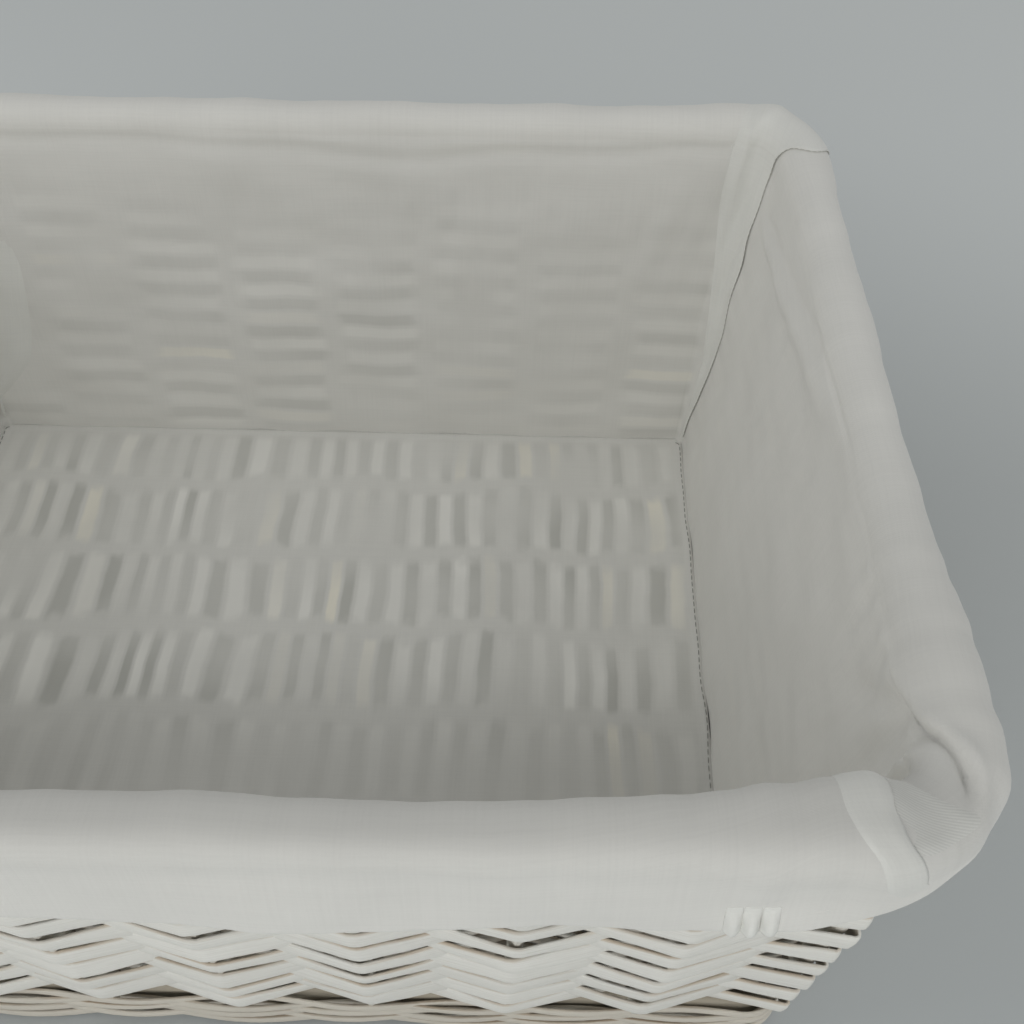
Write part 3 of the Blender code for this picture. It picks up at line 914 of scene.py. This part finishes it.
        # the courses of willow under the cloth
        row_phase = (height - COURSE_LOW) / COURSE_PITCH
        column_phase = 40.0 + np.broadcast_to(self.stake_number[None, :], height.shape)
        on_leg = np.zeros(height.shape)
        on_leg[:leg_rows] = 1.0
        upper = 1.0 - smooth_step(height, 0.085, 0.140)
        end_wall = np.isin(self.side, (1, 3)).astype(float)
        end_wall = np.convolve(np.tile(end_wall, 3), np.ones(15) / 15, "same")
        end_wall = 1.0 - 0.85 * end_wall[self.columns:2 * self.columns]
        gap_noise = 0.65 + 0.35 * ripple2(position * 9.0, height * 9.0, 31)
        mask = 0.50 * on_leg * (0.12 + 0.88 * upper) * end_wall[None, :] * np.clip(gap_noise, 0.0, 1.0)
        mask = mask * smooth_step(height, 0.012, 0.020)
        weave = np.sin(math.pi * column_phase) * np.sin(math.pi * row_phase)

        # shape: faint weave relief, slack folds, the line under the roll, the cuff's flare
        relief = 0.00016 * weave * mask
        leg_t = np.clip(lengths / leg_length[None, :], 0.0, 1.0)
        slack = np.sin(math.pi * leg_t) * on_leg
        folds = 0.0009 * ripple2(position * 7.0, height * 5.0, 33) * slack
        creases = 0.0004 * ripple2(position * 26.0 + height * 9.0, height * 6.0, 34) * slack
        creases = creases * smooth_step(leg_t, 0.35, 0.95)
        below_roll = (leg_length[None, :] - lengths) + 0.0016 * ripple(position * 6.0, 35, low=0.6, high=2.4)
        at_back = (self.side == 2).astype(float)
        sag = 0.0070 + at_back * (0.0050 * ridge(self.rim[:, 0] - 0.040, 0.060) - 0.0035)
        depth = (0.0002 + 0.0006 * at_back)[None, :]
        line = -depth * ridge(below_roll - sag[None, :], 0.0034) * on_leg
        puff = 0.7 * depth * ridge(below_roll - sag[None, :] + 0.0055, 0.0035) * on_leg
        pleat = corner_pleats(column[None, :], level)
        past_roll = np.clip((lengths - lengths[roll_rows][None, :]) / 0.027, 0.0, 1.2)
        flare = past_roll * (0.0008 + 0.0010 * ripple(share, 36, low=5.0, high=13.0)[None, :])
        corner_folds = (self.front_right + 0.6 * self.front_left + 0.25 * self.back_left)[None, :]
        tucks = 0.0016 * corner_folds * ripple(position * 55.0, 37, low=0.5, high=1.7)
        tucks = tucks * ridge(leg_t - 0.97, 0.20) * (0.35 + 0.65 * on_leg)
        tucks = tucks * (1.0 - smooth_step(past_roll, 0.0, 0.6))
        soft = 0.00035 * ripple2(position * 16.0, lengths * 16.0, 38)
        shift = relief + folds + creases + line + puff + flare + tucks + soft + pleat
        points = rows + facing * shift[..., None]

        # the hem: turned under and up again inside the cuff
        last = points[-1]
        edge = facing[-1]
        turned = []
        tuck = np.minimum(HEM_TURN, 0.7 * drop)
        for t in np.linspace(0.0, 1.0, 5)[1:]:
            angle = math.pi * t
            turned.append(last - 0.0008 * (edge * (1.0 - math.cos(angle)) + UP * math.sin(angle)))
        for t in (0.35, 0.7, 1.0):
            turned.append(last - edge * 0.0016 + UP * (tuck * t)[:, None])
        turned = np.array(turned)
        extra = len(turned)
        points = np.concatenate([points, turned])
        lengths = np.concatenate([lengths, lengths[-1:] + np.linspace(0.001, HEM_TURN, extra)[:, None]])
        facing = np.concatenate([facing, np.repeat(facing[-1:], extra, axis=0)])
        pad = np.zeros((extra, self.columns))
        phase = np.stack([np.concatenate([column_phase, pad]), np.concatenate([row_phase, pad]),
                          np.concatenate([mask, pad])], axis=-1)
        round_basket = np.broadcast_to(self.run[None, :], lengths.shape)
        cloth = np.stack([round_basket, lengths, np.zeros(lengths.shape)], axis=-1)
        self.points, self.facing = points, facing

        # painted light and shade in the cloth's colour: darker over the roll and the cuff at the front, less
        # so along the right end, and a little on all walls; lighter low on the back wall
        roll_band = smooth_step(level, 0.97, 1.15) * (1.0 - smooth_step(level, 1.25, 2.70))
        on_front = front * (0.66 + 0.34 * smooth_step(-self.rim[:, 0], -0.02, 0.14))
        on_right = (self.out[:, 0] > 0.5) * smooth_step(-self.rim[:, 1], -0.02, 0.10)
        painted_shading = -0.29 * roll_band * on_front[None, :] - 0.09 * roll_band * on_right[None, :]
        painted_shading = painted_shading + 0.05 * at_back[None, :] * on_leg * (1.0 - smooth_step(height, 0.035, 0.080))
        painted_shading = painted_shading - 0.06 * smooth_step(level, 2.1, 2.4) * on_front[None, :] - 0.03 * on_leg
        self.painted_shading = np.concatenate([painted_shading, pad])
        return points, phase, cloth


def on_lining(lining, level, column):
    """Points and outward directions of the lining at the given levels and columns."""
    row = np.interp(level, lining.level, np.arange(len(lining.level)))
    low_row = np.clip(np.floor(row).astype(int), 0, len(lining.level) - 2)
    low_column = np.floor(column).astype(int)
    up, along = (row - low_row)[..., None], (column - low_column)[..., None]
    a, b = low_column % LOOP_STEPS, (low_column + 1) % LOOP_STEPS

    def sample(grid):
        return ((grid[low_row, a] * (1 - along) + grid[low_row, b] * along) * (1 - up)
                + (grid[low_row + 1, a] * (1 - along) + grid[low_row + 1, b] * along) * up)

    return sample(lining.points), unit(sample(lining.facing))


def build_flap(name, lining, levels, soft, raw, lift, mirrored=False, material=COTTON_PLAIN,
               steps=120, ring=26, waves=0.0, sink=0.02):
    """Strip of cloth lying on the lining between a soft folded edge and a raw edge.

    levels, soft and raw list the heights and the columns of both edges from bottom to top. lift is how far
    the strip stands off, waves is the height of a second fold that begins below the rim, and sink is the
    share of the strip over which its top runs into the cloth.
    Returns the strip, and the line and outward directions of its raw edge."""
    run = np.linspace(0.0, 1.0, steps)
    knots = np.linspace(0.0, 1.0, len(levels))
    blur = np.ones(9) / 9.0
    edges = (np.interp(run, knots, values) for values in (levels, soft, raw))
    level, left, right = (np.convolve(np.pad(values, 4, mode="edge"), blur, "valid") for values in edges)
    a = np.linspace(0.0, 1.0, ring)
    column = left[:, None] * (1 - a) + right[:, None] * a
    if mirrored:
        column = mirror_x(column)
        if np.abs(np.diff(column, axis=1)).max() > LOOP_STEPS / 2:
            column = np.where(column < LOOP_STEPS / 2, column + LOOP_STEPS, column)
    points, facing = on_lining(lining, np.broadcast_to(level[:, None], column.shape), column)
    height = -0.0002 + (lift - 0.0002) * smooth_step(a, 0.0, 0.22) - 0.0003 * smooth_step(a, 0.80, 1.0)
    height = height - 0.15 * lift * ridge(a - 0.55, 0.22)
    height = height[None, :] + waves * ridge(a - 0.30, 0.10)[None, :] * smooth_step(level, 0.75, 1.0)[:, None]
    uneven = ripple(run, len(name), low=1.0, high=5.0)
    height = height + 0.0003 * smooth_step(a, 0.3, 0.9)[None, :] * uneven[:, None]
    sunk = 1.0 - smooth_step(1.0 - run, 0.0, sink)[:, None]
    height = np.maximum(height - (height + 0.0002) * sunk, -0.0002)
    points = points + facing * height[..., None]
    along = run_along(points[:, ring // 2])
    across = np.linalg.norm(points - points[:, :1], axis=-1)
    along = np.broadcast_to(along[:, None], column.shape)
    cloth = np.stack([across + 5.0, along, np.zeros(column.shape)], axis=-1)
    upward = np.cross(points[1, 1] - points[0, 1], points[0, 2] - points[0, 1]) @ facing[0, 1]
    faces = grid_faces(steps, ring)
    flap = make_mesh(name, points, faces[:, ::-1] if upward > 0 else faces,
                     {"cloth": cloth.reshape(-1, 3), "phase": np.zeros((column.size, 3))})
    flap.data.materials.append(material)
    thicken(flap, PATCH_THICKNESS)
    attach(flap, "lining")
    return flap, points[:, -1], facing[:, -1]


def build_gathers(lining):
    """Three small gathers standing out of the cuff just above the hem, near the front right corner."""
    across, along = np.linspace(-1.0, 1.0, 17), np.linspace(0.0, 1.0, 25)
    rise = smooth_step(along, 0.0, 0.60) - 0.30 * smooth_step(along, 0.75, 1.0)
    crown = (1.0 - across[None, :] ** 2) ** 1.3 * rise[:, None]
    lean = 0.25 * (along - 0.5)
    levels = np.broadcast_to((2.48 + 0.51 * along)[:, None], crown.shape)
    places = ((146.4, 0.88, 0.0021), (148.3, 0.90, 0.0024), (150.3, 0.86, 0.0019))
    point_list, face_list, cloth_list = [], [], []
    for k, (column, reach, tall) in enumerate(places):
        columns = column + reach * across[None, :] + lean[:, None]
        points, facing = on_lining(lining, levels, columns)
        points = points + facing * (-0.0002 + tall * crown)[..., None]
        cloth = np.stack([columns * 0.00205 + 7.0 + k, levels * 0.027, np.zeros(columns.shape)], axis=-1)
        point_list.append(points.reshape(-1, 3))
        face_list.append(grid_faces(*crown.shape) + k * crown.size)
        cloth_list.append(cloth.reshape(-1, 3))
    gathers = make_mesh("cuff_gathers", np.concatenate(point_list), np.concatenate(face_list),
                        {"cloth": np.concatenate(cloth_list)})
    gathers.data.materials.append(COTTON_PLAIN)
    thicken(gathers, PATCH_THICKNESS)
    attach(gathers, "lining")
    return gathers


def floor_panel():
    """Floor of the lining: woven relief below, slightly domed by the sticks."""
    nx, ny = 200, 158
    x = np.linspace(-1.0, 1.0, nx) * (LINING_HALF[0] + 0.0006)
    y = np.linspace(-1.0, 1.0, ny) * (LINING_HALF[1] + 0.0006)
    gx, gy = np.meshgrid(x, y, indexing="xy")
    warp = 0.0022 * ripple2(gx * 5.0, gy * 5.0, 44)
    fan = 0.05 * gx * smooth_step(gy, 0.02, 0.12) / LINING_HALF[0]
    column = 40.0 + (gy - 0.0915 + warp) / 0.0402
    sway = 0.0007 * ripple(gy * 4.0, 41, low=0.5, high=2.0)
    row = (gx + FLOOR_HALF[0] - FLOOR_MARGIN + sway + warp * 0.6 - fan * (0.135 - gy)) / FLOOR_PITCH
    row = row + 0.42 * ripple(gx * 7.0, 46, low=0.8, high=2.4)
    edge = np.minimum(LINING_HALF[0] - np.abs(gx), LINING_HALF[1] - np.abs(gy))
    mask = smooth_step(edge, 0.001, 0.008) * np.clip(0.75 + 0.35 * ripple2(gx * 9.0, gy * 9.0, 42), 0.0, 1.0)
    mask = mask * (0.30 + 0.70 * smooth_step(gy, -0.052, -0.022))
    mask = mask * (1.0 - 0.25 * smooth_step(gy, 0.085, 0.110))
    weave = np.sin(math.pi * column) * np.sin(math.pi * row)
    z = LINING_Z + 0.0001 + 0.00034 * weave * mask
    z = z + 0.0007 * smooth_step(edge, 0.0, 0.010) * (0.5 + 0.5 * ripple2(gx * 6.0, gy * 6.0, 43))
    z = z + 0.0010 * ridge(edge, 0.0012)
    points = np.stack([gx, gy, z], axis=-1)
    phase = np.stack([column, row, mask], axis=-1)
    cloth = np.stack([gx + 3.0, gy + 3.0, np.zeros(gx.shape)], axis=-1)
    # painted shadow: the floor's colour is darker towards the front wall, whose shadow falls there, and a
    # little lighter further back
    painted_shading = 0.03 * smooth_step(gy, -0.030, 0.010) - 0.19 * (1.0 - smooth_step(gy, -0.060, 0.000))
    return points, phase, cloth, painted_shading, (ny, nx)


def build_lining():
    """The loose cover: walls, roll, cuff and floor in one sheet."""
    lining = Lining()
    points, phase, cloth = lining.surface()
    rows = points.shape[0]
    wall_faces = grid_faces(rows, lining.columns, wrap_columns=True)
    floor_points, floor_phase, floor_cloth, floor_painted_shading, (ny, nx) = floor_panel()
    floor_faces = grid_faces(ny, nx) + rows * lining.columns
    all_points = np.concatenate([points.reshape(-1, 3), floor_points.reshape(-1, 3)])
    attributes = {
        "phase": np.concatenate([phase.reshape(-1, 3), floor_phase.reshape(-1, 3)]),
        "cloth": np.concatenate([cloth.reshape(-1, 3), floor_cloth.reshape(-1, 3)]),
        # painted light and shade of the walls and the floor, one value per point
        "painted_shading": np.concatenate([lining.painted_shading.reshape(-1), floor_painted_shading.reshape(-1)]),
    }
    all_faces = np.concatenate([wall_faces[:, ::-1], floor_faces])
    cover = make_mesh("cotton_lining", all_points, all_faces, attributes)
    cover.data.materials.append(COTTON)
    thicken(cover, CLOTH_THICKNESS)
    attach(cover, "lining")
    nodes = ["lining_floor"] + [f"lining_wall_{s}" for s in ("front", "right", "back", "left")]
    nodes += [f"lining_corner_{s}" for s in ("front_left", "front_right", "back_right", "back_left")]
    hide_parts(*nodes)
    return lining, cover


def stitches(name, line, normal, length, gap, thickness, material):
    """Run of short raised stitches along a line of points (n, 3)."""
    run = run_along(line)
    starts = np.arange(0.0, run[-1] - length, length + gap)
    t = np.linspace(0.0, 1.0, 5)
    at = starts[:, None] + length * t[None, :]
    centre = np.stack([np.interp(at, run, line[:, k]) for k in range(3)], axis=-1)
    face = unit(np.stack([np.interp(at, run, normal[:, k]) for k in range(3)], axis=-1))
    centre = centre + face * (thickness * (0.15 + 0.75 * np.sin(math.pi * t)))[None, :, None]
    slim = thickness * np.broadcast_to(0.45 + 0.55 * np.sin(math.pi * (0.1 + 0.8 * t)), at.shape)
    points, faces = sweep(rod_sections(centre, face, slim, slim, 6), False)
    row = make_mesh(name, points, faces)
    row.data.materials.append(material)
    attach(row, "lining")
    return row


def floor_seams(lining):
    """Stitched seams between the floor panel and the two end walls."""
    x, y, _ = lining.points[0].T
    seam = np.column_stack([x * 0.994, y * 0.993, np.full(len(x), LINING_Z + 0.0010)])
    right = SIDE_STEPS[0]
    back = right + 2 * ARC_STEPS + SIDE_STEPS[1]
    left = back + SIDE_STEPS[0]
    margin = 12
    made = []
    for side, part in (("right", seam[right + margin:back - margin]), ("left", seam[left + margin:-margin])):
        up = np.broadcast_to(UP, part.shape)
        made.append(stitches(f"floor_seam_{side}", part, up, 0.0024, 0.0011, 0.00016, THREAD))
    return made


# heights and columns of the pleats at the back corners and of the fold and facet at the front ones
BACK_LEVELS = (0.01, 0.26, 0.48, 0.63, 0.76, 0.88, 0.95, 1.06, 1.30, 1.50, 1.65, 1.80, 2.10)
BACK_SOFT = (314.0, 322.0, 330.0, 334.0, 337.0, 337.5, 337.0, 336.0, 335.0, 334.0, 333.5, 333.0, 332.0)
BACK_RAW = (311.0, 308.5, 308.0, 309.5, 312.5, 315.5, 315.8, 313.5, 309.5, 307.5, 308.5, 311.0, 314.0)
LEFT_LEVELS = (0.05, 0.10, 0.15, 0.20, 0.26, 0.36, 0.48, 0.62, 0.80)
LEFT_SOFT = (501.0, 497.0, 493.0, 489.0, 485.2, 482.8, 480.6, 478.0, 476.0)
LEFT_RAW = (505.0, 505.5, 506.0, 506.5, 507.0, 507.5, 508.0, 508.0, 508.0)
FACET_LEVELS = (0.95, 1.10, 1.30, 1.50, 1.65, 1.80)
FACET_SOFT = (164.8, 166.6, 169.0, 171.5, 173.5, 175.0)
FOLD_LEVELS = FACET_LEVELS + (2.20, 2.95)
FOLD_SOFT = (155.2, 155.4, 155.6, 155.9, 157.0, 159.5, 161.5, 163.0)
CREASE = (163.0, 163.8, 163.0, 162.4, 162.6, 164.5, 166.0, 167.5)


def corner_pieces(lining):
    """The folds that are sewn or pressed flat at the corners, and the gathers of the cuff."""
    flap, edge, face = build_flap("pleat_back_right", lining, BACK_LEVELS, BACK_SOFT, BACK_RAW, 0.0013,
                                  waves=0.0012)
    edge = edge - face * 0.0002
    made = [flap, stitches("pleat_edge_back_right", edge, face, 0.0019, 0.0005, 0.00010, EDGE_THREAD)]
    flap, _, _ = build_flap("pleat_back_left", lining, LEFT_LEVELS, LEFT_SOFT, LEFT_RAW, 0.0027, sink=0.45)
    made.append(flap)
    made.append(build_gathers(lining))
    facet_raw = tuple(c - 0.3 for c in CREASE[:len(FACET_LEVELS)])
    for side in ("right", "left"):
        mirrored = side == "left"
        fold, _, _ = build_flap(f"fold_front_{side}", lining, FOLD_LEVELS, FOLD_SOFT, CREASE, 0.0009,
                                mirrored, COTTON_BAND, 90, 16, sink=0.30)
        facet, _, _ = build_flap(f"facet_front_{side}", lining, FACET_LEVELS, FACET_SOFT, facet_raw, 0.0007,
                                 mirrored, COTTON_RIB_SHADED, 70, 18, sink=0.16)
        made += [fold, facet]
    return made


# ---------------------------------------------------------------- stage, light, camera
def build_stage():
    mesh = bpy.data.meshes.new("studio_floor")
    size = 6.0
    corners = [(-size, -size, 0), (size, -size, 0), (size, size, 0), (-size, size, 0)]
    mesh.from_pydata(corners, [], [(0, 1, 2, 3)])
    floor = bpy.data.objects.new("studio_floor", mesh)
    bpy.context.scene.collection.objects.link(floor)
    mat, net, shader = new_material("studio_floor", 0.9, specular=0.1)
    where = net.node("ShaderNodeTexCoord").outputs["Object"]
    cloud = net.noise(where, (2.0, 2.0, 2.0), 2.0)
    # painted light: the floor's colour grows lighter towards the back
    far = net.ramp(net.parts(where)[1], 0.02, 0.45)
    near = net.mix(net.ramp(cloud, 0.3, 0.7), rgb(196, 200, 200), rgb(193, 198, 199))
    net.feed(shader.inputs["Base Color"], net.mix(far, near, rgb(219, 223, 223)))
    mesh.materials.append(mat)

    world = bpy.data.worlds.new("studio")
    bpy.context.scene.world = world
    world.use_nodes = True
    background = world.node_tree.nodes["Background"]
    background.inputs[0].default_value = rgb(218, 220, 220)
    background.inputs[1].default_value = 0.46
    add_light("front_soft", (-0.30, -1.10, 0.75), (0.0, 0.0, 0.08), 0.8, 0.8, 3.7)
    add_light("front_low", (0.0, -1.05, 0.200), (0.0, -0.15, 0.200), 1.5, 0.20, 2.15)
    add_light("left_soft", (-1.20, 0.0, 0.90), (0.0, 0.0, 0.08), 1.0, 1.0, 3.1)
    add_light("right_soft", (1.20, 0.0, 0.90), (0.0, 0.0, 0.08), 1.0, 1.0, 2.8)
    add_light("back_soft", (0.40, 1.50, 0.70), (0.0, 0.0, 0.08), 1.0, 1.0, 1.7)


def add_light(name, place, target, width, height, power):
    data = bpy.data.lights.new(name, "AREA")
    data.shape = "RECTANGLE"
    data.size, data.size_y = width, height
    data.energy = power
    data.color = (1.0, 0.995, 0.98)
    light = bpy.data.objects.new(name, data)
    light.location = place
    light.rotation_euler = (Vector(target) - Vector(place)).to_track_quat("-Z", "Y").to_euler()
    light.visible_camera = False
    bpy.context.scene.collection.objects.link(light)


def build_camera():
    pitch, yaw, roll = 0.835, -0.015, 0.012
    forward = Vector((math.sin(yaw) * math.cos(pitch), math.cos(yaw) * math.cos(pitch), -math.sin(pitch)))
    right = Vector((math.cos(yaw), -math.sin(yaw), 0.0))
    upward = right.cross(forward)
    r = right * math.cos(roll) + upward * math.sin(roll)
    u = -right * math.sin(roll) + upward * math.cos(roll)
    data = bpy.data.cameras.new("camera")
    data.lens = 42.4
    data.sensor_width = 36.0
    data.shift_x = -0.0028
    data.shift_y = 0.0005
    data.clip_start = 0.01
    camera = bpy.data.objects.new("camera", data)
    place = Vector((0.0874, -0.2803, 0.4075))
    camera.matrix_world = Matrix((
        (r.x, u.x, -forward.x, place.x),
        (r.y, u.y, -forward.y, place.y),
        (r.z, u.z, -forward.z, place.z),
        (0.0, 0.0, 0.0, 1.0)))
    bpy.context.scene.collection.objects.link(camera)
    bpy.context.scene.camera = camera


bpy.context.scene.view_settings.view_transform = "Standard"
build_camera()
build_stage()
build_walls()
build_uprights()
build_rim()
build_foot()
build_floor()
lining, cover = build_lining()
extras = floor_seams(lining) + corner_pieces(lining)
